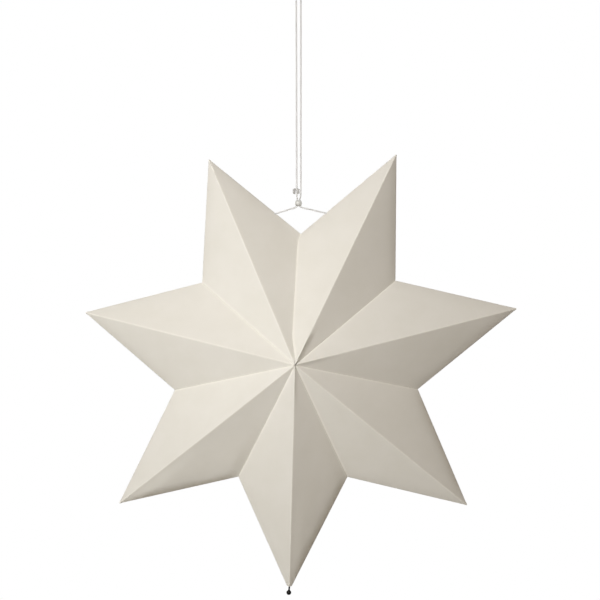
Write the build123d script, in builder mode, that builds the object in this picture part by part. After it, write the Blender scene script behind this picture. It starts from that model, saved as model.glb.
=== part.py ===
from build123d import *

import os
from math import cos, pi, radians, sin, sqrt, tan

# Paper star: seven folded card points, glued valley to valley and hung by a looped cord.
# Millimetres. +Z is up, the front faces -Y, and the origin is where a hook bears on the loop.

# Star, measured from its axis
tip_reach = 228.5  # to where the four folds of a point would meet
valley_reach = 128.1  # to the corner between two points
half_depth = 68.0  # mid-plane to the middle of the front or of the back
axis_offset = -1.6  # the axis hangs a little to the left of the loop

# Points, anticlockwise from the top right as seen from the front. As glued, each one leans from
# its even bearing and reaches a little further, or less far, than the others.
point_names = (
    "top_right_point",
    "top_left_point",
    "left_point",
    "lower_left_point",
    "bottom_point",
    "lower_right_point",
    "right_point",
)
point_lean = (0.1, -2.2, -0.2, 0.0, -1.9, -1.5, 0.8)  # degrees, anticlockwise
point_extra = (4.9, -4.2, -7.3, 3.3, 4.7, -2.7, 0.8)  # added to tip_reach

# Valleys, anticlockwise from the top one. Each leans from halfway between its two points.
valley_lean = (-0.7, -0.1, 0.3, -0.3, -0.3, 0.5, 0.5)  # degrees, anticlockwise
valley_extra = (1.7, -2.7, -0.6, 3.0, -0.5, -2.4, 1.4)  # added to valley_reach

# Card sheet
card = 0.4  # thickness
fold_inside_radius = 0.2
nib_flat = 0.05  # how far the blunt end's radius exceeds a fold's outside radius
tab_width = 10.0  # glue tab along a valley
tab_setback = 12.0  # from a tab's end to the end of its valley
lap_width = 9.0  # glue lap along the back ridge
lap_setback = 24.0  # from the lap's end to the end of its ridge
apex_hole = 2.4  # opening where the seven sheets meet, front and back

# Cord, and the bead and knots on it
cord_diameter = 1.7
hang_length = 220.0  # hook to the middle of the bead
strand_gap = 4.6  # between the middles of the two hanging strands
strand_clearance = 0.1  # between the two strands inside the bead
bead_diameter = 7.4
bead_above_valley = 30.6
bead_bore_clearance = 0.2
mouth_radius = 0.2  # rounded mouths of the bores in the bead and the knots
turn_radius = 1.7  # bend of a strand round the bead's mouth
turn_drop = 3.75  # middle of the bead to the turn under it
spread_start = 3.2  # middle of the bead to where the strands begin to part
spread_end = 7.6  # middle of the bead to where they hang side by side
cord_hole = 2.6  # punched through the side fold
hole_from_valley = 32.0  # along the side fold
end_knot_diameter = 5.0
joining_knot_diameter = 7.2
joining_knot_length = 6.2
joining_knot_rim = 1.4
joining_knot_above_bead = 12.0
knot_clearance = 0.1  # round the cord, in a knot's bore
seat_clearance = 0.3  # between a knot or pin head and the card that stops it

# Ball pin in the bottom tip
pin_ball_diameter = 4.9
pin_stem_diameter = 1.7
pin_stem_shown = 4.1  # between the card and the ball
pin_lean = 3.5  # degrees, to the left of the point's middle line
pin_clearance = 0.1  # round the stem, in the tip
pin_head_depth = 10.0  # from the end of the card to the head inside
pin_head_thickness = 0.8

overrun = 10.0  # how far a shape that is cut back later runs past its cut

# Bearings, and the places that follow from them
pitch = 360.0 / len(point_names)
bearings = [90.0 + pitch * (i - 0.5) + lean for i, lean in enumerate(point_lean)]
next_bearings = bearings[1:] + [bearings[0] + 360.0]
seam_bearings = [(a + b) / 2 + lean for a, b, lean in zip(bearings, next_bearings, valley_lean)]
seam_reaches = [valley_reach + extra for extra in valley_extra]
top_seam = radians(seam_bearings[0])
bead_height = -hang_length
axis_height = bead_height - bead_above_valley - seam_reaches[0] * sin(top_seam)
axis_centre = Vector(axis_offset, 0, axis_height)
depth_axis = Vector(0, 1, 0)
front_apex = axis_centre - depth_axis * half_depth
back_apex = axis_centre + depth_axis * half_depth
fold_outside_radius = fold_inside_radius + card
nib_radius = fold_outside_radius + nib_flat
cord_radius = cord_diameter / 2
bore_of_knot = cord_radius + knot_clearance


def around(bearing, reach):
    """Point of the mid-plane at a bearing and a reach from the star's axis."""
    angle = radians(bearing)
    return axis_centre + Vector(cos(angle), 0, sin(angle)) * reach


def outward_plane(origin, along, across, inside):
    """Plane of two directions through origin, facing away from a point inside the sheet."""
    normal = along.cross(across)
    if normal.dot(inside - origin) > 0:
        normal = -normal
    return Plane(origin=origin, x_dir=along, z_dir=normal)


def glue_strip(plane, start, end, width, setback, towards):
    """Outline of a mitred strip along start to end, on the side of a given point."""
    along = (end - start).normalized()
    across = towards - start
    across = (across - along * across.dot(along)).normalized()
    corners = (
        start + along * setback,
        end - along * setback,
        end - along * (setback + width) + across * width,
        start + along * (setback + width) + across * width,
    )
    local = [plane.to_local_coords(corner) for corner in corners]
    return [(corner.X, corner.Y) for corner in local]


class PointShape:
    """Fold lines, facet planes and seam planes of one point of the star."""

    def __init__(self, index):
        self.name = point_names[index]
        self.reach = tip_reach + point_extra[index]
        self.tip = around(bearings[index], self.reach)
        self.direction = (self.tip - axis_centre).normalized()
        self.valleys = [
            around(seam_bearings[index - 1], seam_reaches[index - 1]),
            around(seam_bearings[index], seam_reaches[index]),
        ]
        inside = axis_centre + self.direction * (valley_reach / 2)
        self.facets = [
            outward_plane(self.tip, apex - self.tip, valley - self.tip, inside)
            for apex in (front_apex, back_apex)
            for valley in self.valleys
        ]
        self.seams = [
            outward_plane(axis_centre, valley - axis_centre, depth_axis, inside)
            for valley in self.valleys
        ]
        self.slope = min(facet.z_dir.dot(self.direction) for facet in self.facets)

    def short_of_tip(self, clear_radius):
        """How far before the tip the four facets are clear_radius from the point's middle line."""
        return clear_radius / self.slope

    def end_plane(self, clear_radius):
        """Cut across the point where the facets are clear_radius from its middle line."""
        origin = self.tip - self.direction * self.short_of_tip(clear_radius)
        return Plane(origin=origin, z_dir=self.direction)


shapes = [PointShape(index) for index in range(len(point_names))]
top_right, top_left = shapes[0], shapes[1]
bottom = shapes[point_names.index("bottom_point")]
top_valley = top_right.valleys[1]

# Cord: each strand leaves the bead, turns out to a hole in a side fold and ends in a knot inside
strand_in_bead = (cord_diameter + strand_clearance) / 2
left_turn = Vector(-strand_in_bead, 0, bead_height - turn_drop)
right_turn = Vector(strand_in_bead, 0, bead_height - turn_drop)


class CordEnd:
    """Where a strand goes through a side fold, and the knot that stops it inside."""

    def __init__(self, shape, turn):
        fold = (shape.tip - top_valley).normalized()
        self.hole = top_valley + fold * hole_from_valley
        self.direction = (self.hole - turn).normalized()
        side = 1 if shape is top_right else 0
        facet_slope = -self.direction.dot(shape.facets[side].z_dir)
        seat = end_knot_diameter / 2 + card + seat_clearance
        self.knot_depth = seat / facet_slope
        self.knot = self.hole + self.direction * self.knot_depth
        self.cord_end = self.knot + self.direction * (end_knot_diameter / 2)


left_end = CordEnd(top_left, left_turn)
right_end = CordEnd(top_right, right_turn)
cord_ends = {top_left.name: left_end, top_right.name: right_end}


def folded_cone(shape, inset, radius, end_radius):
    """The space inside a point's facets, taken in by inset, with its four folds rounded."""
    block = 2 * (shape.reach + half_depth)  # a cube round the axis that holds the whole point
    behind_axis = axis_centre - shape.direction * overrun
    with BuildPart() as cone:
        with Locations(axis_centre):
            Box(block, block, block)
        split(bisect_by=Plane(origin=behind_axis, z_dir=-shape.direction), keep=Keep.BOTTOM)
        split(bisect_by=shape.end_plane(end_radius), keep=Keep.BOTTOM)
        for facet in shape.facets:
            split(bisect_by=facet.offset(-inset), keep=Keep.BOTTOM)
        folds = cone.edges().sort_by(SortBy.LENGTH)[-len(shape.facets):]
        fillet(folds, radius=radius)
    return cone.part


def card_point(shape):
    """One sheet: four facets round the tip, tabs along its valleys and a lap on its back ridge."""
    outer_end = nib_radius
    inner_end = card + fold_inside_radius + nib_flat
    if shape is bottom:
        outer_end = card + pin_stem_diameter / 2 + pin_clearance
        inner_end = outer_end
    outer = folded_cone(shape, 0, fold_outside_radius, outer_end)
    inner = folded_cone(shape, card, fold_inside_radius, inner_end)
    with BuildPart() as point:
        add(outer)
        add(inner, mode=Mode.SUBTRACT)
        for seam in shape.seams:
            split(bisect_by=seam, keep=Keep.BOTTOM)
        for seam, valley in zip(shape.seams, shape.valleys):
            for apex in (front_apex, back_apex):
                with BuildSketch(seam):
                    Polygon(*glue_strip(seam, apex, valley, tab_width, tab_setback, axis_centre))
                extrude(amount=-card)
        back_facet = shape.facets[-1].offset(-card)
        lap_side = shape.valleys[-1]
        with BuildSketch(back_facet):
            Polygon(*glue_strip(back_facet, shape.tip, back_apex, lap_width, lap_setback, lap_side))
        extrude(amount=-card)
        with BuildSketch(Plane(origin=axis_centre, z_dir=depth_axis)):
            Circle(apex_hole / 2)
        extrude(amount=half_depth + overrun, both=True, mode=Mode.SUBTRACT)
        if shape.name in cord_ends:
            end = cord_ends[shape.name]
            with BuildSketch(Plane(origin=end.hole, z_dir=end.direction)):
                Circle(cord_hole / 2)
            extrude(amount=end.knot_depth, both=True, mode=Mode.SUBTRACT)
    return point.part


def bored_ball(name, place, diameter, bore_radius):
    """Ball with a bore along the plane's normal and rounded mouths."""
    with BuildPart(place) as ball:
        Sphere(diameter / 2)
        Cylinder(bore_radius, diameter + overrun, mode=Mode.SUBTRACT)
        mouths = ball.edges().sort_by(Axis(place.origin, place.z_dir))
        fillet([mouths[0], mouths[-1]], radius=mouth_radius)
    ball.part.label = name
    return ball.part


# Sheets
pieces = []
for shape in shapes:
    sheet = card_point(shape)
    sheet.label = shape.name
    pieces.append(sheet)

# Bead that draws the two top points together
bead_place = Plane(origin=(0, 0, bead_height))
bead_bore = strand_in_bead + cord_radius + bead_bore_clearance
pieces.append(bored_ball("closing_bead", bead_place, bead_diameter, bead_bore))

# Knots on the cord's ends, inside the two top points
for name, end in (("left_end_knot", left_end), ("right_end_knot", right_end)):
    knot_place = Plane(origin=end.knot, z_dir=end.direction)
    pieces.append(bored_ball(name, knot_place, end_knot_diameter, bore_of_knot))

# Barrel knot on the left strand, where the cord is joined
knot_middle = (-strand_gap / 2, 0, bead_height + joining_knot_above_bead)
with BuildPart(Plane(origin=knot_middle)) as joining_knot:
    Cylinder(joining_knot_diameter / 2, joining_knot_length)
    rims = joining_knot.edges().filter_by(GeomType.CIRCLE)
    fillet(rims, radius=joining_knot_rim)
    Cylinder(bore_of_knot, joining_knot_length + overrun, mode=Mode.SUBTRACT)
joining_knot.part.label = "joining_knot"
pieces.append(joining_knot.part)

# Pin: a ball on a stem that goes through the open bottom tip to a flat head inside
pin_tip_radius = card + pin_stem_diameter / 2 + pin_clearance
pin_base = bottom.end_plane(pin_tip_radius)
pin_place = Plane(origin=pin_base.origin, z_dir=pin_base.z_dir.rotate(Axis.Y, pin_lean))
ball_centre = pin_stem_shown + pin_ball_diameter / 2
head_short_of_tip = bottom.short_of_tip(pin_tip_radius) + pin_head_depth
facet_gap = (bottom.slope * head_short_of_tip - card) / sqrt(1 - bottom.slope**2)
lean_shift = (pin_head_depth + pin_head_thickness) * tan(radians(pin_lean))
pin_head_radius = facet_gap - seat_clearance - lean_shift
with BuildPart(pin_place) as tip_ball_pin:
    with Locations((0, 0, ball_centre)):
        Sphere(pin_ball_diameter / 2)
    with Locations((0, 0, -pin_head_depth)):
        stem_length = pin_head_depth + ball_centre
        Cylinder(pin_stem_diameter / 2, stem_length, align=(Align.CENTER, Align.CENTER, Align.MIN))
        Cylinder(pin_head_radius, pin_head_thickness, align=(Align.CENTER, Align.CENTER, Align.MAX))
tip_ball_pin.part.label = "tip_ball_pin"
pieces.append(tip_ball_pin.part)

# Cord from the left knot, up one strand, over the hook and down the other to the right knot
left_half = [
    left_end.cord_end,
    left_turn,
    Vector(-strand_in_bead, 0, bead_height + spread_start),
    Vector(-strand_gap / 2, 0, bead_height + spread_end),
    Vector(-strand_gap / 2, 0, cord_radius),
]
right_half = [
    Vector(strand_gap / 2, 0, cord_radius),
    Vector(strand_gap / 2, 0, bead_height + spread_end),
    Vector(strand_in_bead, 0, bead_height + spread_start),
    right_turn,
    right_end.cord_end,
]
route_points = left_half + right_half
bend_share = 0.45  # of the shorter run beside a bend, taken up by the bend


def bend_radius(before, corner, after):
    """Largest radius that the two runs beside a corner leave room for."""
    run_in = corner - before
    run_out = after - corner
    half_turn = radians(run_in.get_angle(run_out)) / 2
    return bend_share * min(run_in.length, run_out.length) / tan(half_turn)


radii = [bend_radius(*route_points[i : i + 3]) for i in range(len(route_points) - 2)]
radii[0] = turn_radius
radii[-1] = turn_radius
with BuildPart() as hanging_cord:
    with BuildLine() as route:
        FilletPolyline(*route_points, radius=radii)
    with BuildSketch(Plane(origin=route.line @ 0, z_dir=route.line % 0)):
        Circle(cord_radius)
    sweep()
hanging_cord.part.label = "hanging_cord"
pieces.append(hanging_cord.part)
cord_length = route.wire().length
plain_volume = pi * cord_radius**2 * cord_length
print("cord radii, mm:", [round(radius, 2) for radius in radii])
print("cord length, mm:", round(cord_length, 1))
print("cord volume over section times length:", round(hanging_cord.part.volume / plain_volume, 5))

os.makedirs("parts", exist_ok=True)
for piece in pieces:
    export_step(piece, f"parts/{piece.label}.step")
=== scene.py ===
import functools
import math

import bmesh
import bpy
from bpy.props import FloatProperty, FloatVectorProperty, IntProperty, PointerProperty
from mathutils import Matrix, Vector


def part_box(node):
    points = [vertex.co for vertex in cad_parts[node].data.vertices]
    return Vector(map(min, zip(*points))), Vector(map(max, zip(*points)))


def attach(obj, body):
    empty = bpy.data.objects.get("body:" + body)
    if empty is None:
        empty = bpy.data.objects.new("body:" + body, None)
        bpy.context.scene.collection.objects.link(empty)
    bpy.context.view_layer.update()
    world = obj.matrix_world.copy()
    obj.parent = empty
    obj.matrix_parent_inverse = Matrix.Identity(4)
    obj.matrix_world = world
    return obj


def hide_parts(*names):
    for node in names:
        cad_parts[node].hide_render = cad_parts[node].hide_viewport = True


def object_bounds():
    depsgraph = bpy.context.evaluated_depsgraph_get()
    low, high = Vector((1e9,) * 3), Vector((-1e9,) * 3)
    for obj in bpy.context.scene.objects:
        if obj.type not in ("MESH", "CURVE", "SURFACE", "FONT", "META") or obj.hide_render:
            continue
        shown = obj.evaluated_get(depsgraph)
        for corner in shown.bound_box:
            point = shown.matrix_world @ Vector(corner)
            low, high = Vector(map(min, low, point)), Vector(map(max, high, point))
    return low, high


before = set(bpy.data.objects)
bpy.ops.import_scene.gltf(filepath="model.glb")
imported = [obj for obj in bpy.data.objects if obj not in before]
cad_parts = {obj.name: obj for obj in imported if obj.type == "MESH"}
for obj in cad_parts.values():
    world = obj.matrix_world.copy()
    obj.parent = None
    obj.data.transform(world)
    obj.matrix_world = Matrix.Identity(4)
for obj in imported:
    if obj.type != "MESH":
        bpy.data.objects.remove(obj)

bl_info = {
    "name": "Paper star",
    "version": (1, 0, 0),
    "blender": (4, 5, 0),
    "location": "3D View > Sidebar > Paper star",
    "description": "A seven-pointed folded card star on a looped cord",
    "category": "Object",
}

CAD_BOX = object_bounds()
BODY = "root"
MM = 0.001
WELD = 0.002 * MM  # closes a mesh's seams, and is far below the card's thickness
POINT_NAMES = (
    "top_right_point",
    "top_left_point",
    "left_point",
    "lower_left_point",
    "bottom_point",
    "lower_right_point",
    "right_point",
)
# Inputs of the folding tree that are sizes of the card, alike on all points
CARD_SIZES = ("Card", "Crease", "Apex Hole", "Roll", "Wave")
CARD_SIZES += ("Belly", "Belly Depth", "Edge Belly", "Edge Depth")

# Kinds of node, some of them with a setting
MATH = "ShaderNodeMath"
VECTOR = "ShaderNodeVectorMath"
NOISE = "ShaderNodeTexNoise"
MARK = ("GeometryNodeStoreNamedAttribute", {"data_type": "FLOAT"})
RANGED = "ShaderNodeMapRange"
EASED = (RANGED, {"interpolation_type": "SMOOTHSTEP"})
BLEND = ("ShaderNodeMix", {"data_type": "RGBA"})
TIMES, TIMES_PLUS, PLUS, MINUS, OVER, LEAST, MOST = (
    (MATH, {"operation": name})
    for name in ("MULTIPLY", "MULTIPLY_ADD", "ADD", "SUBTRACT", "DIVIDE", "MINIMUM", "MAXIMUM")
)
V_PLUS, V_MINUS, V_SCALED, V_CROSS, V_DOT, V_UNIT, V_LENGTH = (
    (VECTOR, {"operation": name})
    for name in ("ADD", "SUBTRACT", "SCALE", "CROSS_PRODUCT", "DOT_PRODUCT", "NORMALIZE", "LENGTH")
)


def linear(code):
    """Linear colour, with alpha, of an sRGB hex code."""
    shares = [int(code[i : i + 2], 16) / 255 for i in (0, 2, 4)]
    return tuple(s / 12.92 if s <= 0.04045 else ((s + 0.055) / 1.055) ** 2.4 for s in shares) + (1.0,)


def length(name, description, millimetres):
    """A length property, given in millimetres."""
    default = millimetres * MM
    return FloatProperty(name=name, description=description, default=default, unit="LENGTH", precision=5)


def lengths(name, description, *millimetres):
    """A length for each point or valley of the star, given in millimetres."""
    default = [a * MM for a in millimetres]
    return FloatVectorProperty(
        name=name, description=description, default=default, size=len(default), unit="LENGTH"
    )


def angles(name, description, *degrees):
    """An angle for each point or valley of the star, given in degrees."""
    default = [math.radians(a) for a in degrees]
    return FloatVectorProperty(
        name=name, description=description, default=default, size=len(default), unit="ROTATION"
    )


def colour(name, description, code):
    """A colour property, given as an sRGB hex code."""
    return FloatVectorProperty(
        name=name, description=description, default=linear(code), size=4, subtype="COLOR", min=0.0, max=1.0
    )


class PaperStarFolds(bpy.types.PropertyGroup):
    """Sizes of the folded card. Rows go anticlockwise from the top right point, or the top valley."""

    tip_reach: length("Tip reach", "Axis of the star to where a point's four folds would meet", 228.5)
    valley_reach: length("Valley reach", "Axis of the star to the corner between two points", 128.1)
    half_depth: length("Half depth", "Mid-plane to the middle of the front or back", 68.0)
    axis_offset: length("Axis offset", "Loop to the star's axis, to the right", -1.6)
    hang_length: length("Hang length", "Hook to the middle of the bead", 220.0)
    bead_above_valley: length("Bead above valley", "Top valley to the middle of the bead", 30.6)
    lean: angles(
        "Lean", "Each point's lean anticlockwise from its even bearing", 0.1, -2.2, -0.2, 0.0, -1.9, -1.5, 0.8
    )
    extra: lengths(
        "Extra reach", "Each point's reach past the tip reach", 4.9, -4.2, -7.3, 3.3, 4.7, -2.7, 0.8
    )
    valley_lean: angles(
        "Valley lean", "Each valley's lean from midway between points", -0.7, -0.1, 0.3, -0.3, -0.3, 0.5, 0.5
    )
    valley_extra: lengths(
        "Valley extra", "Each valley's reach past the valley reach", 1.7, -2.7, -0.6, 3.0, -0.5, -2.4, 1.4
    )
    card: length("Card", "Thickness of the card", 0.4)
    crease: length("Crease", "Width of card that a fold rounds, on each side of it", 0.8)
    nib: length("Nib", "Half width of a point's blunt end", 0.35)
    pin_nib: length("Pin nib", "Half width of the open end that the pin goes through", 1.35)
    apex_hole: length("Apex hole", "Radius of the opening where the seven sheets meet", 0.6)
    pinch: lengths(
        "Pinch", "How far each ridge stands up at the middle", 2.4, 0.2, 0.2, 0.3, 1.0, 0.2, 1.0
    )
    pinch_reach: lengths(
        "Pinch reach", "How far from each ridge its pinch reaches", 6.5, 4.0, 4.0, 4.0, 4.0, 4.0, 4.5
    )
    curl_before: lengths(
        "Curl before", "Swelling of each front by its clockwise side fold", 0.2, 0.0, 0.0, 0.0, 0.0, 0.1, 0.2
    )
    curl_after: lengths(
        "Curl after", "Swelling of each front by its other side fold", 0.0, 0.1, 0.2, 2.0, 1.1, 0.7, 0.0
    )
    belly: length("Belly", "How far the facets swell out between the folds", 2.5)
    belly_depth: length("Belly depth", "Depth in front of the mid-plane that the swelling takes up", 40.0)
    edge_belly: length("Edge belly", "How far the facets swell out next to a side fold", 0.9)
    edge_depth: length("Edge depth", "Depth in front of the mid-plane that it takes up", 7.0)
    roll: length("Roll", "How far a glued edge turns in", 0.18)
    wave: length("Wave", "How far a facet swells and dips", 0.25)
    tab_width: length("Tab width", "Glue tab along a valley", 10.0)
    tab_setback: length("Tab setback", "End of a glue tab to the end of its valley", 12.0)
    bow: length("Bow", "How far the closing seam bows to the left", 4.0)
    cord_hole: length("Cord hole", "Diameter of a punched hole", 2.6)
    hole_from_valley: length("Hole from valley", "Top valley to a punched hole, along the fold", 32.0)
    around: IntProperty(name="Around", description="Faces across one facet", default=44, min=8)
    along: IntProperty(name="Along", description="Rows of points from tip to valley", default=48, min=8)


class PaperStarCord(bpy.types.PropertyGroup):
    """Sizes of the cord and what is on it."""

    diameter: length("Diameter", "Across the twisted cord", 1.7)
    real_length: length("Length", "Knot to knot along the cord", 519.9)
    lay: length("Lay", "Length of one turn of the twist", 6.5)
    strand_gap: length("Strand gap", "Between the middles of the hanging strands", 4.6)
    closer: length("Closer", "How much nearer the left strand hangs at its foot than at the hook", 0.55)
    in_bead: length("Strand in bead", "Middle of the bead to a strand inside it", 0.9)
    turn_drop: length("Turn drop", "Middle of the bead to the turn under it", 3.75)
    spread_start: length("Spread start", "Middle of the bead to where the strands begin to part", 3.2)
    spread_end: length("Spread end", "Middle of the bead to where they hang side by side", 7.6)
    bead_bore: length("Bead bore", "Radius of the hole through the bead", 1.95)


class PaperStarPin(bpy.types.PropertyGroup):
    """Sizes of the ball pin."""

    stem: length("Stem", "Radius of the stem", 0.85)
    ball: length("Ball", "Radius of the ball", 2.45)
    shown: length("Shown", "Length of stem between the card and the ball", 4.1)
    head: length("Head", "Radius of the flat head inside the point", 2.491)
    head_depth: length("Head depth", "Open end of the point to the head", 10.0)
    head_thickness: length("Head thickness", "Thickness of the head", 0.8)
    lean: FloatProperty(
        name="Lean",
        description="Lean of the pin to the left of the point's middle line",
        default=math.radians(3.5),
        unit="ROTATION",
    )


class PaperStarFinish(bpy.types.PropertyGroup):
    """Colours of the finishes."""

    card: colour("Card", "Off-white card", "EEECE6")
    card_cloud: colour("Card cloud", "Slightly darker clouds in the card", "EBE9E2")
    # Paler card along the ridges, partly fold wear and partly painted highlight, and along glued edges as
    # painted highlight
    card_fold_wear_and_painted_highlight: colour("Card fold", "Card where a fold has opened its surface", "F6F4ED")
    # Painted shade: darker card beside the curled side folds, where they turn from the light
    card_painted_shade: colour("Card handled", "Card where fingers have rubbed an edge", "D5CEBF")
    cord: colour("Cord", "Cotton cord", "EEEFF0")
    # Painted shade: the cord's colour in the grooves between its fibres
    cord_groove_painted_shade: colour("Cord shade", "Cotton cord between its fibres", "DADBDC")
    # The knot's colours are the cord's, darkened as painted shade of its tight turns; the second is darker
    # again as painted shade between fibres
    knot: colour("Knot", "Cotton cord pulled tight in the joining knot", "D2D2D2")
    knot_groove_painted_shade: colour("Knot shade", "The same between its fibres", "BCBCBC")
    bead: colour("Bead", "Plated bead", "BFBEBA")
    bead_rim: colour("Bead rim", "Plated bead, seen at its rim", "FFFFFF")
    pin: colour("Pin", "Dark plated pin", "242322")
    pin_rim: colour("Pin rim", "Dark plated pin, seen at its rim", "3A3938")
    floor: colour("Floor", "Matt floor", "F2F1EE")


def feed(tree, socket, value):
    """Gives a socket a plain value, another socket, or a node, whose first output in use is taken."""
    if isinstance(value, bpy.types.Node):
        value = next(s for s in value.outputs if s.enabled)
    if isinstance(value, bpy.types.NodeSocket):
        tree.links.new(value, socket)
    else:
        socket.default_value = value


def add_node(tree, kind, inputs=(), **settings):
    """Adds a node of a kind, with its settings, and feeds its sockets in use in order, or those that
    a dict names."""
    kind, preset = kind if isinstance(kind, tuple) else (kind, {})
    made = tree.nodes.new(kind)
    for name, value in {**preset, **settings}.items():
        setattr(made, name, value)
    if isinstance(inputs, dict):
        pairs = [(made.inputs[name], value) for name, value in inputs.items()]
    else:
        pairs = zip([s for s in made.inputs if s.enabled], inputs)
    for socket, value in pairs:
        feed(tree, socket, value)
    return made


def new_tree(name, sockets):
    """A Geometry Nodes tree with inputs of named kinds and one geometry output."""
    tree = bpy.data.node_groups.new(name, "GeometryNodeTree")
    for kind, labels in sockets.items():
        for label in labels:
            tree.interface.new_socket(label, in_out="INPUT", socket_type="NodeSocket" + kind)
    tree.interface.new_socket("Geometry", in_out="OUTPUT", socket_type="NodeSocketGeometry")
    return tree


def folded_point_tree(sizes):
    """Tree that folds one sheet: four facets round a tip, cut at the valleys, with its thickness."""
    vectors = ("Tip", "Front Apex", "Back Apex", "Valley Before", "Valley After")
    vectors += ("Bow Before", "Bow After", "Curl Before", "Curl After")
    floats = ("Nib", "Pinch", "Pinch Reach", *CARD_SIZES, "Seed")
    tree = new_tree("folded_card_point", {"Vector": vectors, "Float": floats, "Material": ("Material",)})
    add = functools.partial(add_node, tree)
    given = add("NodeGroupInput").outputs
    corners = [given[name] for name in ("Front Apex", "Valley After", "Back Apex", "Valley Before")]
    spokes = [add(V_MINUS, (corner, given["Tip"])) for corner in corners]
    faces = []
    for here, after in zip(spokes, spokes[1:] + spokes[:1]):
        across = add(V_CROSS, (after, here))
        faces.append(add(V_UNIT, (across,)))
    to_axis = add(V_SCALED, (add(V_PLUS, (spokes[0], spokes[2])), 0.5))

    # A flat grid: columns go round the four facets, rows go down the outside and back up the inside
    rows = sizes.along
    rim = rows - 0.5
    nudge = 1e-4  # keeps a column on a fold with the facet after it
    grid = add("GeometryNodeMeshGrid", (1.0, 1.0, 4 * sizes.around + 1, 2 * rows + 1))
    place = add("ShaderNodeSeparateXYZ", (add("GeometryNodeInputPosition"),))
    turn = add(TIMES_PLUS, (place.outputs["X"], 4.0, 2.0))
    turn_up = add(PLUS, (turn, nudge))
    facet = add(LEAST, (add(MATH, (turn_up,), operation="FLOOR"), 3.0))
    part = add(MINUS, (turn, facet))
    row = add(TIMES_PLUS, (place.outputs["Y"], 2.0 * rows, float(rows)))
    from_rim = add(MATH, (add(MINUS, (row, rim)),), operation="ABSOLUTE")
    level = add(EASED, (from_rim, rim, 0.5, 0.0, 1.0))
    past_rim = add(MATH, (row, rim), operation="GREATER_THAN")
    before_end = add(MATH, (row, rows + rim), operation="LESS_THAN")
    inside = add(TIMES, (past_rim, before_end))
    crowded = add(EASED, (part, 0.0, 1.0, 0.0, 1.0))
    spread = add("ShaderNodeMix", (level, part, crowded), data_type="FLOAT")
    odd = add(MATH, (facet, 2.0), operation="MODULO")
    from_ridge = add(MATH, (add(MINUS, (spread, odd)),), operation="ABSOLUTE")

    # What belongs to each facet: its ridge, its side fold, its face and the faces across its folds
    none = add("ShaderNodeCombineXYZ")
    choices = {
        "ridge": (spokes[0], spokes[2], spokes[2], spokes[0]),
        "side": (spokes[1], spokes[1], spokes[3], spokes[3]),
        "face": faces,
        "over_ridge": (faces[3], faces[2], faces[1], faces[0]),
        "over_side": (faces[1], faces[0], faces[3], faces[2]),
        "bow": (given["Bow After"], none, none, given["Bow Before"]),
        "curl": (given["Curl After"], none, none, given["Curl Before"]),
    }
    mine = {}
    for name, values in choices.items():
        switch = add("GeometryNodeIndexSwitch", data_type="VECTOR")
        while len(switch.index_switch_items) < len(values):
            switch.index_switch_items.new()
        for socket, value in zip(switch.inputs, (facet, *values)):
            feed(tree, socket, value)
        mine[name] = switch

    # The flat facet, cut back at the apex hole and at the blunt end
    valley_run = add(V_LENGTH, (add(V_MINUS, (spokes[1], to_axis)),))
    reach = add(V_LENGTH, (to_axis,))
    hole_share = add(OVER, (given["Apex Hole"], valley_run))
    at_hole = add(RANGED, (from_ridge, 0.0, hole_share, 1.0, 0.0))
    cut = add(TIMES, (add(OVER, (given["Apex Hole"], reach)), at_hole))
    straight = add("ShaderNodeMix", (from_ridge, mine["ridge"], mine["side"]), data_type="VECTOR")
    cut_back = add(V_SCALED, (mine["ridge"], cut))
    edge = add(V_MINUS, (straight, cut_back))
    down = add(V_DOT, (edge, add(V_UNIT, (to_axis,))))
    start = add(OVER, (given["Nib"], down))
    share = add("ShaderNodeMix", (level, start, 1.0), data_type="FLOAT")
    flat = add(V_SCALED, (edge, share))

    # Distances on the facet to its ridge, to its side fold and to its valley
    double_area = add(V_LENGTH, (add(V_CROSS, (mine["ridge"], mine["side"])),))
    valley = add(V_MINUS, (mine["side"], mine["ridge"]))
    to_side = add(MINUS, (1.0, from_ridge))
    distance = {}
    for name, line, portion in (
        ("ridge", mine["ridge"], add(TIMES, (share, from_ridge))),
        ("side", mine["side"], add(TIMES, (share, to_side))),
        ("valley", valley, add(MINUS, (1.0, share))),
    ):
        height = add(OVER, (double_area, add(V_LENGTH, (line,))))
        distance[name] = add(TIMES, (height, portion))

    # Rounded folds, and the mitres that carry the card's thickness round them
    crease_share = 0.08  # of the run from the tip, because a crease has less room near it
    mitre_span = 1.5  # in thicknesses of the card
    room = add(TIMES, (add(TIMES, (share, reach)), crease_share))
    rounding = add(LEAST, (given["Crease"], room))
    moves = []
    mitred = mine["face"]
    mitre_reach = add(TIMES, (given["Card"], mitre_span))
    bisector = {}
    for name, other in (("ridge", mine["over_ridge"]), ("side", mine["over_side"])):
        total = add(V_PLUS, (mine["face"], other))
        bisector[name] = add(V_UNIT, (total,))
        agree = add(V_DOT, (mine["face"], other))
        half_sine = add(MATH, (add(TIMES_PLUS, (agree, -0.5, 0.5)),), operation="SQRT")
        left = add(MOST, (add(MINUS, (rounding, distance[name])), 0.0))
        squared = add(OVER, (add(TIMES, (left, left)), rounding))
        drop = add(TIMES, (add(TIMES, (squared, half_sine)), -0.5))
        moves.append((bisector[name], drop))
        mitre = add(V_SCALED, (total, add(OVER, (1.0, add(PLUS, (agree, 1.0))))))
        near = add(RANGED, (distance[name], 0.0, mitre_reach, 1.0, 0.0))
        more = add(V_SCALED, (add(V_MINUS, (mitre, mine["face"])), near))
        mitred = add(V_PLUS, (mitred, more))

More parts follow.
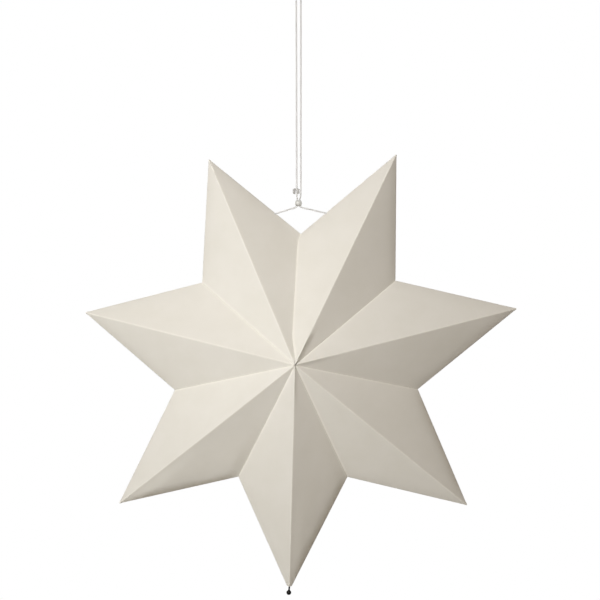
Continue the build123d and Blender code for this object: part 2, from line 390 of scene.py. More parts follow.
    # Ridges stand up where the folds crowd at the middle
    crowd_from, crowd_to = 26 * MM, 42 * MM
    roll_span, bow_span = 1.2 * MM, 45 * MM
    from_apex = add(TIMES, (add(V_LENGTH, (mine["ridge"],)), add(MINUS, (1.0, share))))
    falls = {}
    for name, span, reached in (
        ("pinch", distance["ridge"], given["Pinch Reach"]),
        ("roll", distance["valley"], roll_span),
        ("bow", distance["valley"], bow_span),
    ):
        evenly = add(RANGED, (span, 0.0, reached, 1.0, 0.0))
        falls[name] = add(MATH, (evenly, 2.0), operation="POWER")
    crowd = add(EASED, (from_apex, crowd_from, crowd_to, 1.0, 0.0))
    pinch = add(TIMES, (given["Pinch"], add(TIMES, (falls["pinch"], crowd))))
    moves.append((bisector["ridge"], pinch))

    # Fronts swell unevenly beside some side folds
    curl_top, curl_end, held_span = 13 * MM, 60 * MM, 14 * MM
    where = add(V_PLUS, (flat, given["Tip"]))
    noise = {}
    for name, grain in (("curl", 30 * MM), ("wave", 75 * MM)):
        values = {"Vector": where, "W": given["Seed"], "Scale": 1 / grain, "Detail": 1.0}
        noise[name] = add(NOISE, values, noise_dimensions="4D")
    low_noise, mid_noise, least_curl = 0.22, 0.5, 0.75
    uneven = add(EASED, (noise["curl"], low_noise, mid_noise, least_curl, 1.0))
    inner = add(LEAST, (distance["ridge"], distance["valley"]))
    held = add(EASED, (inner, 0.0, held_span, 0.0, 1.0))
    below = add(RANGED, (distance["side"], 0.0, curl_top, 1.0, 0.0))
    risen = add(MINUS, (1.0, add(TIMES, (below, below))))
    past = add(EASED, (distance["side"], curl_top, curl_end, 1.0, 0.0))
    curl_size = add("ShaderNodeSeparateXYZ", (mine["curl"],)).outputs["X"]
    curl = add(TIMES, (add(TIMES, (risen, past)), add(TIMES, (uneven, held))))
    moves.append((mine["face"], add(TIMES, (curl, curl_size))))

    # Glued edges turn in, away from the ridge
    inward = add(V_MINUS, (to_axis, mine["ridge"]))
    inward = add(V_CROSS, (valley, inward))
    inward = add(V_CROSS, (inward, valley))
    inward = add(V_UNIT, (inward,))
    off_ridge = add(RANGED, (distance["ridge"], 0.0, roll_span, 0.0, 1.0))
    roll = add(TIMES, (falls["roll"], off_ridge))
    moves.append((inward, add(TIMES, (roll, given["Roll"]))))

    # Every facet waves a little, and the closing seam bows, less towards its outer end
    free_span = 18 * MM
    wavy = add(TIMES, (add(MINUS, (noise["wave"], 0.5)), 2.0))
    nearest = add(LEAST, (inner, distance["side"]))
    free = add(EASED, (nearest, 0.0, free_span, 0.0, 1.0))
    wavy = add(TIMES, (add(TIMES, (wavy, free)), given["Wave"]))
    moves.append((mine["face"], wavy))
    bow_full, bow_back, slack_from = 0.24, 0.94, 0.2  # shares of the seam
    slack_end = 0.66  # share of the bow that is left at the outer end
    bow_in = add(EASED, (from_ridge, 0.0, bow_full, 0.0, 1.0))
    bow_out = add(EASED, (from_ridge, bow_back, 1.0, 1.0, 0.0))
    bow_slack = add(RANGED, (from_ridge, slack_from, 1.0, 1.0, slack_end))
    bow = add(TIMES, (add(TIMES, (bow_in, bow_out)), bow_slack))
    moves.append((mine["bow"], add(TIMES, (bow, falls["bow"]))))

    # Facets swell out between the folds, by their depth in front of or behind the mid-plane
    deep = add("ShaderNodeSeparateXYZ", (where,))
    depth = add(MATH, (deep.outputs["Y"],), operation="ABSOLUTE")
    apex_depth = add("ShaderNodeSeparateXYZ", (given["Back Apex"],)).outputs["Y"]
    swollen = add(PLUS, (given["Belly"], given["Edge Belly"]))
    kept = add(MINUS, (1.0, add(OVER, (swollen, apex_depth))))
    total_depth = add(TIMES, (depth, kept))
    for amount, taken in (("Belly", "Belly Depth"), ("Edge Belly", "Edge Depth")):
        rest = add(RANGED, (depth, 0.0, given[taken], 1.0, 0.0))
        rest = add(MINUS, (1.0, add(TIMES, (rest, rest))))
        total_depth = add(TIMES_PLUS, (rest, given[amount], total_depth))
    side_of_plane = add(MATH, (deep.outputs["Y"],), operation="SIGN")
    total_depth = add(TIMES, (total_depth, side_of_plane))
    position = add("ShaderNodeCombineXYZ", (deep.outputs["X"], total_depth, deep.outputs["Z"]))

    # Sum up, and step in by the card's thickness on the inside
    for direction, amount in moves:
        step = add(V_SCALED, (direction, amount))
        position = add(V_PLUS, (position, step))
    thickness = add(TIMES, (add(TIMES, (given["Card"], inside)), -1.0))
    position = add(V_PLUS, (position, add(V_SCALED, (mitred, thickness))))

    # Marks for the card's material, stored while the grid is still flat: ridges paler from fold wear and
    # painted highlight, glued edges paler from painted highlight, and card beside curled side folds darker
    # from painted shade
    fold_mark, lip_mark = (0.4 * MM, 1.4 * MM), (0.6 * MM, 2.0 * MM)  # where each starts to fade and ends
    painted_shade_span, painted_shade_curl = 9 * MM, 1 * MM  # from the side fold, and the curl that gets the full painted shade
    opened = add(EASED, (distance["ridge"], *fold_mark, 1.0, 0.0))
    lipped = add(EASED, (distance["valley"], *lip_mark, 1.0, 0.0))
    # Painted shade: card darkened beside side folds that curl, more where they curl more
    shaded = add(TIMES, (add(EASED, (distance["side"], 0.0, painted_shade_span, 1.0, 0.0)), held))
    shaded = add(TIMES, (shaded, add(RANGED, (curl_size, 0.0, painted_shade_curl, 0.0, 1.0))))
    geometry = grid
    for name, value in (("fold", add(MOST, (opened, lipped))), ("handled", shaded)):
        geometry = add(MARK, {"Geometry": geometry, "Name": name, "Value": value})
    geometry = add("GeometryNodeSetPosition", {"Geometry": geometry, "Position": position})
    geometry = add("GeometryNodeMergeByDistance", {"Geometry": geometry, "Distance": WELD})
    geometry = add("GeometryNodeSetShadeSmooth", {"Geometry": geometry})
    geometry = add("GeometryNodeRealizeInstances", {"Geometry": geometry})
    geometry = add("GeometryNodeSetMaterial", {"Geometry": geometry, "Material": given["Material"]})
    add("NodeGroupOutput", (geometry,))
    return tree


def twisted_cord_tree():
    """Tree that lays three yarns round a line of points."""
    yarns, yarn_sides = 3, 8
    yarn_offset, yarn_size = 0.21, 0.29  # middle and radius of a yarn, in diameters of the cord
    tree = new_tree(
        "twisted_cord",
        {"Geometry": ("Geometry",), "Float": ("Diameter", "Lay", "Step"), "Material": ("Material",)},
    )
    add = functools.partial(add_node, tree)
    given = add("NodeGroupInput").outputs
    line = add("GeometryNodeMeshToCurve", {"Mesh": given["Geometry"]})
    line = add("GeometryNodeResampleCurve", {"Curve": line, "Length": given["Step"]}, mode="LENGTH")
    run = add("GeometryNodeSplineParameter").outputs["Length"]
    line = add(MARK, {"Geometry": line, "Name": "along", "Value": run})
    normal = add("GeometryNodeInputNormal")
    side = add(V_CROSS, (add("GeometryNodeInputTangent"), normal))
    out_by = add(TIMES, (given["Diameter"], yarn_offset))
    yarn_radius = add(TIMES, (given["Diameter"], yarn_size))
    turns = add(OVER, (run, given["Lay"]))
    ring = add("GeometryNodeCurvePrimitiveCircle", {"Resolution": yarn_sides, "Radius": yarn_radius})
    round_share = add("GeometryNodeSplineParameter").outputs["Factor"]
    ring = add(MARK, {"Geometry": ring, "Name": "round", "Value": round_share})
    join = add("GeometryNodeJoinGeometry")
    for yarn in range(yarns):
        angle = add(TIMES, (add(PLUS, (turns, yarn / yarns)), 2 * math.pi))
        out = add(V_SCALED, (normal, add(MATH, (angle,), operation="COSINE")))
        over = add(V_SCALED, (side, add(MATH, (angle,), operation="SINE")))
        offset = add(V_SCALED, (add(V_PLUS, (out, over)), out_by))
        laid = add("GeometryNodeSetPosition", {"Geometry": line, "Offset": offset})
        tube = add("GeometryNodeCurveToMesh", {"Curve": laid, "Profile Curve": ring, "Fill Caps": True})
        feed(tree, join.inputs[0], tube)
    geometry = add("GeometryNodeSetShadeSmooth", {"Geometry": join})
    geometry = add("GeometryNodeRealizeInstances", {"Geometry": geometry})
    geometry = add("GeometryNodeSetMaterial", {"Geometry": geometry, "Material": given["Material"]})
    add("NodeGroupOutput", (geometry,))
    return tree


def set_inputs(modifier, values):
    """Sets a Geometry Nodes modifier's inputs by the identifiers of their sockets."""
    for item in modifier.node_group.interface.items_tree:
        if item.in_out == "INPUT" and item.name in values:
            modifier[item.identifier] = values[item.name]


def new_piece(name, mesh=None):
    """An object at the origin, in the scene's own collection."""
    piece = bpy.data.objects.new(name, mesh or bpy.data.meshes.new(name))
    bpy.context.scene.collection.objects.link(piece)
    return piece


def make_plain(piece):
    """Turns what a piece's modifiers make into its own plain mesh."""
    graph = bpy.context.evaluated_depsgraph_get()
    shown = piece.evaluated_get(graph)
    mesh = bpy.data.meshes.new_from_object(shown, preserve_all_data_layers=True, depsgraph=graph)
    piece.modifiers.clear()
    piece.data = mesh
    mesh.name = piece.name


def dress(piece, slot, *nodes):
    """Puts a finished piece on the body, in place of its solids."""
    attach(piece, BODY)
    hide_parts(*nodes)


def line_mesh(name, points, closed=False):
    """A mesh of edges through points."""
    edges = [(i, i + 1) for i in range(len(points) - 1)]
    if closed:
        edges.append((len(points) - 1, 0))
    mesh = bpy.data.meshes.new(name)
    mesh.from_pydata([tuple(p) for p in points], edges, [])
    return mesh


def lathe(name, profile, place, segments=48, closed=False):
    """A mesh turned from a profile of radii and heights, round the Z axis of place."""
    made = bmesh.new()
    rings = []
    for radius, height in profile:
        if radius < WELD:
            rings.append([made.verts.new((0, 0, height))])
            continue
        turns = [2 * math.pi * i / segments for i in range(segments)]
        rings.append([made.verts.new((radius * math.cos(a), radius * math.sin(a), height)) for a in turns])
    pairs = list(zip(rings, rings[1:]))
    if closed:
        pairs.append((rings[-1], rings[0]))
    for low, high in pairs:
        for i in range(segments):
            j = i + 1
            corners = [low[i % len(low)], low[j % len(low)], high[j % len(high)], high[i % len(high)]]
            made.faces.new(list(dict.fromkeys(corners)))
    bmesh.ops.recalc_face_normals(made, faces=made.faces)
    made.transform(place)
    mesh = bpy.data.meshes.new(name)
    made.to_mesh(mesh)
    made.free()
    mesh.shade_smooth()
    mesh.set_sharp_from_angle(angle=math.radians(40))
    return mesh


def new_material(name):
    """An empty node material, with a function that adds nodes to it."""
    material = bpy.data.materials.new(name)
    material.use_nodes = True
    material.node_tree.nodes.clear()
    return material, functools.partial(add_node, material.node_tree)


def uncoated_card(finish):
    """Uncoated off-white card, scored and folded by hand: dead matt and a little cloudy, with a
    fine tooth; paler along the ridges from fold wear and painted highlight, paler along glued edges
    from painted highlight, and darker beside curled side folds from painted shade."""
    # The tooth of card is about 0.1 mm, and is drawn near 1 mm so that it shows in the render
    cloud_size, tooth_size, speck_size = 32 * MM, 1.1 * MM, 3.4 * MM
    material, add = new_material("uncoated_card")
    where = add("ShaderNodeTexCoord").outputs["Object"]
    cloud = add(NOISE, {"Vector": where, "Scale": 1 / cloud_size, "Detail": 4.0, "Roughness": 0.6})
    tooth = add(NOISE, {"Vector": where, "Scale": 1 / tooth_size, "Detail": 3.0, "Roughness": 0.65})
    speck = add(NOISE, {"Vector": where, "Scale": 1 / speck_size, "Detail": 2.0})
    cloudy = add(RANGED, (cloud, 0.35, 0.65, 0.0, 1.0))
    tone = add(BLEND, (cloudy, finish.card, finish.card_cloud))
    # The fold mark lightens partly as fold wear and partly as painted highlight; the other mark darkens card
    # beside curled side folds as painted shade
    for name, share, shade in (("fold", 0.8, finish.card_fold_wear_and_painted_highlight), ("handled", 0.75, finish.card_painted_shade)):
        mark = add("ShaderNodeAttribute", attribute_name=name).outputs["Fac"]
        patchy = add(RANGED, (speck, 0.3, 0.7, 0.55 * share, share))
        tone = add(BLEND, (add(TIMES, (mark, patchy)), tone, shade))
    surface = {
        "Base Color": tone,
        "Roughness": 0.88,
        "IOR": 1.5,
        "Specular IOR Level": 0.25,
        "Normal": add("ShaderNodeBump", {"Height": tooth, "Strength": 0.18, "Distance": 0.12 * MM}),
    }
    add("ShaderNodeOutputMaterial", {"Surface": add("ShaderNodeBsdfPrincipled", surface)})
    return material


def cotton_cord(name, light, dark):
    """Bleached cotton cord of three twisted yarns: matt and soft, darkened between fibres as painted shade.
    """
    # Fibres are far under 0.1 mm, and are drawn as slanted ridges about 0.9 mm apart so that they show
    fuzz_size, ridge_step, ridges_round = 0.9 * MM, 1.6 * MM, 3
    material, add = new_material(name)
    along = add("ShaderNodeAttribute", attribute_name="along").outputs["Fac"]
    round_yarn = add("ShaderNodeAttribute", attribute_name="round").outputs["Fac"]
    where = add("ShaderNodeTexCoord").outputs["Object"]
    fuzz = add(NOISE, {"Vector": where, "Scale": 1 / fuzz_size, "Detail": 3.0})
    slant = add(TIMES, (along, 2 * math.pi / ridge_step))
    slant = add(TIMES_PLUS, (round_yarn, 2 * math.pi * ridges_round, slant))
    ripple = add(TIMES_PLUS, (add(MATH, (slant,), operation="SINE"), 0.25, 0.5))
    height = add(TIMES, (ripple, fuzz))
    # Painted shade: darker where the bumps sink, in the grooves between fibres
    shade = add(RANGED, (height, 0.10, 0.40, 1.0, 0.0))
    surface = {
        "Base Color": add(BLEND, (shade, light, dark)),
        "Roughness": 0.9,
        "Specular IOR Level": 0.2,
        "Sheen Weight": 0.15,
        "Normal": add("ShaderNodeBump", {"Height": height, "Strength": 0.5, "Distance": 0.1 * MM}),
    }
    add("ShaderNodeOutputMaterial", {"Surface": add("ShaderNodeBsdfPrincipled", surface)})
    return material


def plated_metal(name, shade, rim, smooth, worn, scratch):
    """Plated metal, barrel polished: it mirrors the room, softer where handling has dulled it, and
    a dark plating stays dark at its rim."""
    worn_size = 1.6 * MM
    material, add = new_material(name)
    where = add("ShaderNodeTexCoord").outputs["Object"]
    dull = add(NOISE, {"Vector": where, "Scale": 1 / worn_size, "Detail": 3.0})
    lines = add(NOISE, {"Vector": where, "Scale": 1 / scratch, "Detail": 2.0})
    surface = {
        "Base Color": shade,
        "Metallic": 1.0,
        "Specular Tint": rim,
        "Roughness": add(RANGED, (dull, 0.3, 0.7, smooth, worn)),
        "Normal": add("ShaderNodeBump", {"Height": lines, "Strength": 0.06, "Distance": 0.04 * MM}),
    }
    add("ShaderNodeOutputMaterial", {"Surface": add("ShaderNodeBsdfPrincipled", surface)})
    return material


class PointFolds:
    """Corners of one point of the star."""

    def __init__(self, sizes, index):
        count = len(POINT_NAMES)
        pitch = 2 * math.pi / count
        bearings = [math.pi / 2 + pitch * (i - 0.5) + sizes.lean[i] for i in range(count)]
        followers = bearings[1:] + [bearings[0] + 2 * math.pi]
        seams = [(a + b) / 2 + lean for a, b, lean in zip(bearings, followers, sizes.valley_lean)]
        reaches = [sizes.valley_reach + extra for extra in sizes.valley_extra]
        fall = sizes.hang_length + sizes.bead_above_valley + reaches[0] * math.sin(seams[0])
        self.name = POINT_NAMES[index]
        self.axis = Vector((sizes.axis_offset, 0, -fall))

        def around(bearing, reach):
            return self.axis + Vector((math.cos(bearing), 0, math.sin(bearing))) * reach

        self.tip = around(bearings[index], sizes.tip_reach + sizes.extra[index])
        self.direction = (self.tip - self.axis).normalized()
        self.before = around(seams[index - 1], reaches[index - 1])
        self.after = around(seams[index], reaches[index])
        self.front = self.axis - Vector((0, sizes.half_depth, 0))
        self.back = self.axis + Vector((0, sizes.half_depth, 0))
        facet = (self.after - self.tip).cross(self.front - self.tip).normalized()
        other = (self.front - self.tip).cross(self.before - self.tip).normalized()
        self.slope = min(facet.dot(self.direction), other.dot(self.direction))


def swell(place, sizes):
    """A place on a flat facet, moved as the belly of the facet moves it."""
    depth = abs(place.y)
    moved = depth * (1 - (sizes.belly + sizes.edge_belly) / sizes.half_depth)
    for amount, taken in ((sizes.belly, sizes.belly_depth), (sizes.edge_belly, sizes.edge_depth)):
        moved += amount * (1 - (1 - min(depth / taken, 1.0)) ** 2)
    return Vector((place.x, math.copysign(moved, place.y), place.z))


def glue_tab(made, start, end, towards, normal, sizes):
    """Adds a mitred tab along start to end, folded in on the side of towards."""
    run = (end - start).normalized()
    across = towards - start
    across = (across - run * across.dot(run)).normalized()
    sunk = sizes.card  # keeps the tab's root inside the card
    gap = 0.02 * MM  # from the tab to the middle of the seam
    steps = 10
    root_run = (end - start).length - 2 * sizes.tab_setback
    rim_run = root_run - 2 * sizes.tab_width
    roots, rims = [], []
    for i in range(steps + 1):
        share = i / steps
        root = start + run * (sizes.tab_setback + root_run * share)
        rim = start + run * (sizes.tab_setback + sizes.tab_width + rim_run * share)
        roots.append(swell(root, sizes) + across * sunk)
        rims.append(swell(rim, sizes) + across * sizes.tab_width)
    outline = roots + rims[::-1]
    near = [made.verts.new(c - normal * gap) for c in outline]
    far = [made.verts.new(c - normal * sizes.card) for c in outline]
    faces = []
    for skin in (near, far):
        for i in range(steps):
            j = len(outline) - 1 - i
            faces.append(made.faces.new((skin[i], skin[i + 1], skin[j - 1], skin[j])))
    for i in range(len(outline)):
        j = (i + 1) % len(outline)
        faces.append(made.faces.new((near[j], near[i], far[i], far[j])))
    bmesh.ops.recalc_face_normals(made, faces=faces)


class PAPERSTAR_OT_card_points(bpy.types.Operator):
    """Folds the seven card points, with their glue tabs and the two cord holes"""

    bl_idname = "paper_star.card_points"
    bl_label = "Card points"

    def execute(self, context):
        sizes = context.scene.paper_star_folds
        card = uncoated_card(context.scene.paper_star_finish)
        tree = folded_point_tree(sizes)
        points = [PointFolds(sizes, i) for i in range(len(POINT_NAMES))]
        valley = points[0].after
        bowed = Vector((-sizes.bow, 0, 0))
        shared = {name: getattr(sizes, name.lower().replace(" ", "_")) for name in CARD_SIZES}
        seed_step = 3.7
        for index, point in enumerate(points):
            piece = new_piece(point.name + "_card")
            nib = sizes.pin_nib if point.name == "bottom_point" else sizes.nib
            folding = piece.modifiers.new("folding", "NODES")
            folding.node_group = tree
            values = {
                "Tip": point.tip,
                "Front Apex": point.front,
                "Back Apex": point.back,
                "Valley Before": point.before,
                "Valley After": point.after,
                "Bow Before": bowed if point.name == "top_left_point" else Vector(),
                "Bow After": bowed if point.name == "top_right_point" else Vector(),
                "Nib": nib / point.slope,
                "Pinch": sizes.pinch[index],
                "Pinch Reach": sizes.pinch_reach[index],
                "Curl Before": Vector((sizes.curl_before[index], 0, 0)),
                "Curl After": Vector((sizes.curl_after[index], 0, 0)),
                "Seed": seed_step * index,
                "Material": card,
            }
            set_inputs(folding, {**shared, **values})
            make_plain(piece)
            if point.name in ("top_right_point", "top_left_point"):
                self.punch(piece, point, valley, sizes, context.scene.paper_star_cord)
            self.add_tabs(piece.data, point, sizes)
            piece.data.set_sharp_from_angle(angle=math.radians(35))
            dress(piece, "card", point.name)
        return {"FINISHED"}

    def punch(self, piece, point, valley, sizes, cord):
        """Cuts the cord's hole through the side fold."""
        fold = (point.tip - valley).normalized()
        hole = valley + fold * sizes.hole_from_valley
        turn = Vector((math.copysign(cord.in_bead, hole.x), 0, -sizes.hang_length - cord.turn_drop))
        way = (hole - turn).normalized()
        place = Matrix.Translation(hole) @ way.to_track_quat("Z", "Y").to_matrix().to_4x4()
        radius, stroke = sizes.cord_hole / 2, 6 * MM
        profile = [(0, -stroke), (radius, -stroke), (radius, stroke), (0, stroke)]
        punch = new_piece("punch", lathe("punch", profile, place, segments=24))
        cut = piece.modifiers.new("punched", "BOOLEAN")
        cut.operation = "DIFFERENCE"
        cut.solver = "EXACT"
        cut.object = punch
        make_plain(piece)
        bpy.data.objects.remove(punch)
        made = bmesh.new()
        made.from_mesh(piece.data)
        bmesh.ops.dissolve_degenerate(made, dist=WELD, edges=made.edges)
        made.to_mesh(piece.data)
        made.free()

    def add_tabs(self, mesh, point, sizes):
        """Adds the four glue tabs inside the sheet."""
        made = bmesh.new()
        made.from_mesh(mesh)
        for valley in (point.before, point.after):
            normal = (valley - point.axis).cross(Vector((0, 1, 0))).normalized()
            if normal.dot(point.tip - point.axis) > 0:
                normal = -normal
            for apex in (point.front, point.back):
                glue_tab(made, apex, valley, point.axis, normal, sizes)
        made.to_mesh(mesh)
        made.free()


class PAPERSTAR_OT_cord(bpy.types.Operator):
    """Lays the looped cord, its joining knot and the two knots inside the top points"""

    bl_idname = "paper_star.cord"
    bl_label = "Cord and knots"

    def execute(self, context):
        cord = context.scene.paper_star_cord
        finish = context.scene.paper_star_finish
        cotton = cotton_cord("twisted_cotton", finish.cord, finish.cord_groove_painted_shade)
        # Cotton darkened as painted shade of the knot's tight turns
        tight = cotton_cord("twisted_cotton_knot_painted_shade", finish.knot, finish.knot_groove_painted_shade)
        tree = twisted_cord_tree()
        line = self.smooth_line(self.route(cord, context.scene.paper_star_folds))
        path = []
        for vertex in line.vertices:
            if not path or (vertex.co - path[-1]).length > WELD:
                path.append(vertex.co.copy())
        rope = self.twist("hanging_cord_yarns", line, tree, cord, cotton)

        low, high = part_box("joining_knot")
        coil = (high.x - low.x - cord.diameter) / 2
        wraps = self.wraps((low + high) / 2, coil, high.z - low.z, cord.diameter)
        knot = self.twist("joining_knot_wraps", wraps, tree, cord, tight)
        ends = []
        for node in ("left_end_knot", "right_end_knot"):
            low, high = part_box(node)
            loops = self.trefoil(node, (low + high) / 2, (high.z - low.z - cord.diameter) / 2)
            ends.append(self.twist(node + "_loops", loops, tree, cord, cotton))
            dress(ends[-1], "cord", node)
        dress(knot, "cord", "joining_knot")
        dress(rope, "cord", "hanging_cord")
        return {"FINISHED"}

    def route(self, cord, folds):
        """The route's control points, and on each strand one more near the hook and one just above
        where the strands part. The left strand's foot follows the photograph."""
        bead = -folds.hang_length
        half = cord.strand_gap / 2
        foot = half - cord.closer
        top = cord.diameter / 2
        near_hook = top - 6 * cord.diameter
        parted = bead + cord.spread_end
        above_parted = parted + 4.6 * MM
        return [
            (-0.031540, 0, -0.233225),
            (-0.007540, 0, -0.225803),
            (-cord.in_bead, 0, bead - cord.turn_drop),
            (-cord.in_bead, 0, bead + cord.spread_start),
            (-foot, 0, parted),
            (-foot, 0, above_parted),
            (-half, 0, near_hook),
            (-half, 0, top),
            (half, 0, top),
            (half, 0, near_hook),
            (half, 0, above_parted),
            (half, 0, parted),
            (cord.in_bead, 0, bead + cord.spread_start),
            (cord.in_bead, 0, bead - cord.turn_drop),
            (0.007651, 0, -0.225401),
            (0.036124, 0, -0.232366),
        ]

    def smooth_line(self, route):
        """A mesh of edges along the smooth spline that a route controls."""
        curve = bpy.data.curves.new("cord_line", "CURVE")
        curve.dimensions = "3D"
        spline = curve.splines.new("NURBS")
        spline.points.add(len(route) - 1)
        for point, place in zip(spline.points, route):
            point.co = (*place, 1)
        spline.order_u = 3
        spline.use_endpoint_u = True
        spline.resolution_u = 24
        guide = new_piece("cord_line", curve)
        line = bpy.data.meshes.new_from_object(guide)
        bpy.data.objects.remove(guide)
        return line

    def twist(self, name, line, tree, cord, cotton):
        """A piece of cord laid along a mesh of edges."""
        step = 0.5 * MM
        piece = new_piece(name, line)
        laying = piece.modifiers.new("laying", "NODES")
        laying.node_group = tree
        set_inputs(laying, {"Diameter": cord.diameter, "Lay": cord.lay, "Step": step, "Material": cotton})
        make_plain(piece)
        return piece

    def wraps(self, middle, reach, height, diameter):
        """Line of the joining knot: turns that climb one lobe and go down the other beside it."""
        coil = 0.27 * reach
        turns, count = 3.0, 72
        points = []
        for side in (-1, 1):
            for i in range(count + 1):
                share = i / count
                angle = 2 * math.pi * turns * share
                rise = side * (0.5 - share) * (height - diameter)
                out = side * (reach - coil) - side * coil * math.cos(angle)
                points.append(middle + Vector((out, coil * math.sin(angle), rise)))
        return line_mesh("joining_knot", points)

    def trefoil(self, name, middle, reach):
        """Line of an overhand knot pulled tight."""
        count = 72
        points = []
        for i in range(count):
            a = 2 * math.pi * i / count
            x = math.sin(a) + 2 * math.sin(2 * a)
            y = math.cos(a) - 2 * math.cos(2 * a)
            points.append(middle + Vector((x, y, -math.sin(3 * a))) * (reach / 3))
        return line_mesh(name, points, closed=True)


class PAPERSTAR_OT_closing_bead(bpy.types.Operator):
    """Turns the bead that both strands pass through"""

    bl_idname = "paper_star.closing_bead"
    bl_label = "Closing bead"

    def execute(self, context):
        bore = context.scene.paper_star_cord.bead_bore
        finish = context.scene.paper_star_finish
        low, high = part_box("closing_bead")
        radius = (high.x - low.x) / 2
        half = (high.z - low.z) / 2
        lip, lip_width = 0.2 * MM, 0.08 * MM
        steps = 24
        reach = math.asin((half - lip_width) / radius)
        profile = []
        for i in range(steps + 1):
            angle = reach * (2 * i / steps - 1)
            profile.append((radius * math.cos(angle), radius * math.sin(angle)))
        rim = bore + lip_width
        profile += [(rim, half), (bore, half - lip), (bore, lip - half), (rim, -half)]
        place = Matrix.Translation((low + high) / 2)
        mesh = lathe("closing_bead_ball", profile, place, segments=64, closed=True)
        nickel = plated_metal(
            "satin_nickel_bead", finish.bead, finish.bead_rim, smooth=0.70, worn=0.78, scratch=0.4 * MM
        )
        mesh.materials.append(nickel)
        dress(new_piece("closing_bead_ball", mesh), "bead", "closing_bead")
        return {"FINISHED"}


class PAPERSTAR_OT_ball_pin(bpy.types.Operator):
    """Turns the ball pin in the bottom tip"""

    bl_idname = "paper_star.ball_pin"
    bl_label = "Ball pin"

    def execute(self, context):
        sizes = context.scene.paper_star_folds
        pin = context.scene.paper_star_pin
        finish = context.scene.paper_star_finish
        point = PointFolds(sizes, POINT_NAMES.index("bottom_point"))
        base = point.tip - point.direction * (sizes.pin_nib / point.slope)
        down = (Matrix.Rotation(pin.lean, 3, "Y") @ point.direction).to_track_quat("Z", "Y")
        stem, head, bevel = pin.stem, pin.head, 0.2 * MM
        under = -pin.head_depth
        back = under - pin.head_thickness
        profile = [(0, back), (head - bevel, back), (head, back + bevel), (head, under - bevel)]
        profile += [(head - bevel, under), (stem + bevel, under), (stem, under + bevel)]
        profile += [(stem, under + ring * MM) for ring in range(1, 13)]
        collar, flare = stem * 1.12, stem * 1.25  # where the stem runs into the ball
        profile += [(stem, pin.shown - 0.4 * MM), (collar, pin.shown - 0.1 * MM)]
        neck = math.asin(flare / pin.ball)
        steps = 28
        for i in range(steps + 1):
            angle = (math.pi - neck) * (1 - i / steps)
            profile.append((pin.ball * math.sin(angle), pin.shown + pin.ball * (1 + math.cos(angle))))
        place = Matrix.Translation(base) @ down.to_matrix().to_4x4()
        mesh = lathe("tip_ball_pin_turned", profile, place, segments=48)
        black = plated_metal(
            "black_nickel_pin", finish.pin, finish.pin_rim, smooth=0.08, worn=0.16, scratch=0.6 * MM
        )
        mesh.materials.append(black)
        dress(new_piece("tip_ball_pin_turned", mesh), "pin", "tip_ball_pin")
        return {"FINISHED"}


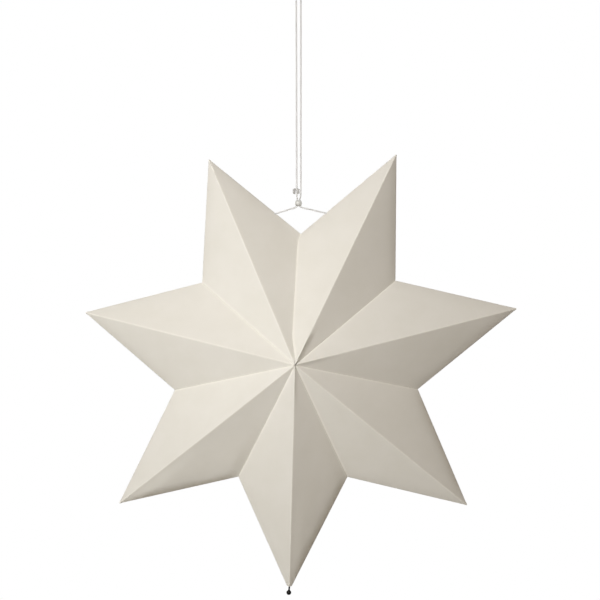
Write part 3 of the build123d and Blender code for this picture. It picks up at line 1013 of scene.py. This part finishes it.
class PAPERSTAR_OT_stage(bpy.types.Operator):
    """Sets the floor, the light and the camera"""

    bl_idname = "paper_star.stage"
    bl_label = "Stage"

    def execute(self, context):
        scene = context.scene
        scene.view_settings.view_transform = "Standard"
        self.floor(scene.paper_star_finish)
        self.world(scene)
        self.lamps()
        camera = bpy.data.cameras.new("camera")
        camera.sensor_width = 36.0
        camera.lens = 118.67
        camera.clip_start, camera.clip_end = 0.05, 20.0
        eye = bpy.data.objects.new("camera", camera)
        target = Vector((0.001567, 0, -0.317827))
        self.aim(eye, target, azimuth=-1.4725, elevation=0.8368, distance=2.0)
        scene.camera = eye
        return {"FINISHED"}

    def aim(self, thing, target, azimuth, elevation, distance):
        """Puts a camera or lamp at a distance from its target and facing it, turned to the left of
        the front by the azimuth and raised by the elevation, in degrees."""
        turn, rise = math.radians(azimuth), math.radians(elevation)
        away = Vector((-math.sin(turn) * math.cos(rise), -math.cos(turn) * math.cos(rise), math.sin(rise)))
        thing.location = target + away * distance
        thing.rotation_euler = (-away).to_track_quat("-Z", "Y").to_euler()
        bpy.context.scene.collection.objects.link(thing)

    def floor(self, finish):
        """A round matt floor well under the star, which fades to white at its rim."""
        radius, drop = 0.90, 0.45
        fade_from, fade_to, least_white = 0.45, 0.98, 0.6  # the fade in shares of the radius
        made = bmesh.new()
        bmesh.ops.create_circle(made, cap_ends=True, segments=96, radius=radius)
        made.transform(Matrix.Translation((0, 0, CAD_BOX[0].z - drop)))
        mesh = bpy.data.meshes.new("floor")
        made.to_mesh(mesh)
        made.free()
        floor = new_piece("floor", mesh)
        material, add = new_material("matt_floor")
        where = add("ShaderNodeTexCoord").outputs["Object"]
        flat = add(VECTOR, (where, (1.0, 1.0, 0.0)), operation="MULTIPLY")
        out = add(V_LENGTH, (flat,))
        fade = add(EASED, (out, radius * fade_from, radius * fade_to, 0.0, 1.0))
        path = add("ShaderNodeLightPath")
        seen = add(TIMES, (add(MOST, (fade, least_white)), path.outputs["Is Camera Ray"]))
        surface = {"Base Color": finish.floor, "Roughness": 0.95, "Specular IOR Level": 0.1}
        matt = add("ShaderNodeBsdfPrincipled", surface)
        white = add("ShaderNodeEmission", {"Color": linear("FFFFFF"), "Strength": 1.0})
        add("ShaderNodeOutputMaterial", {"Surface": add("ShaderNodeMixShader", (seen, matt, white))})
        mesh.materials.append(material)

    def world(self, scene):
        """White to the eye and in reflections, and a softer warm fill on everything matt."""
        world = bpy.data.worlds.new("studio")
        scene.world = world
        world.use_nodes = True
        world.node_tree.nodes.clear()
        add = functools.partial(add_node, world.node_tree)
        path = add("ShaderNodeLightPath").outputs
        seen = add(MOST, (path["Is Camera Ray"], path["Is Glossy Ray"]))
        seen = add(MOST, (seen, path["Is Transmission Ray"]))
        fill = add("ShaderNodeBackground", {"Color": linear("FFE7C8"), "Strength": 0.110})
        white = add("ShaderNodeBackground", {"Color": linear("FFFFFF"), "Strength": 1.0})
        add("ShaderNodeOutputWorld", {"Surface": add("ShaderNodeMixShader", (seen, fill, white))})

    def lamps(self):
        """A main lamp up on the left, a fill low on the left, a weak warm one on the right, and two
        behind for the star's back."""
        target = Vector((0, 0, -0.38))
        for name, azimuth, elevation, distance, size, spread, watts, tint in (
            ("front", 18, 22, 1.1, 0.5, 180, 8.5, "FFFDFA"),
            ("low_left", 55, -12, 1.6, 0.9, 180, 3.5, "FDFFFC"),
            ("right", -40, 20, 1.6, 0.9, 180, 0.9, "FFE6C5"),
            ("back_left", 145, 10, 1.1, 0.5, 55, 0.70, "FFFFFF"),
            ("back_right", -145, 10, 1.1, 0.5, 55, 0.36, "FFFFFF"),
        ):
            lamp = bpy.data.lights.new(name, "AREA")
            lamp.shape = "DISK"
            lamp.size = size
            lamp.spread = math.radians(spread)
            lamp.energy = watts
            lamp.color = linear(tint)[:3]
            self.aim(bpy.data.objects.new(name, lamp), target, azimuth, elevation, distance)


class PAPERSTAR_PT_panel(bpy.types.Panel):
    """Sizes, finishes and steps of the paper star"""

    bl_idname = "PAPERSTAR_PT_panel"
    bl_label = "Paper star"
    bl_space_type = "VIEW_3D"
    bl_region_type = "UI"
    bl_category = "Paper star"

    def draw(self, context):
        for group in GROUPS:
            column = self.layout.column(align=True)
            settings = getattr(context.scene, group)
            for name in settings.__annotations__:
                column.prop(settings, name)
        for step in STEPS:
            self.layout.operator(step.bl_idname)


GROUPS = {
    "paper_star_folds": PaperStarFolds,
    "paper_star_cord": PaperStarCord,
    "paper_star_pin": PaperStarPin,
    "paper_star_finish": PaperStarFinish,
}
STEPS = (
    PAPERSTAR_OT_stage,
    PAPERSTAR_OT_closing_bead,
    PAPERSTAR_OT_cord,
    PAPERSTAR_OT_card_points,
    PAPERSTAR_OT_ball_pin,
)
CLASSES = (*GROUPS.values(), *STEPS, PAPERSTAR_PT_panel)


def register():
    for made in CLASSES:
        bpy.utils.register_class(made)
    for name, group in GROUPS.items():
        setattr(bpy.types.Scene, name, PointerProperty(type=group))


def unregister():
    for name in GROUPS:
        delattr(bpy.types.Scene, name)
    for made in reversed(CLASSES):
        bpy.utils.unregister_class(made)


def main():
    register()
    for step in STEPS:
        group, name = step.bl_idname.split(".")
        getattr(getattr(bpy.ops, group), name)()


if __name__ == "__main__":
    main()
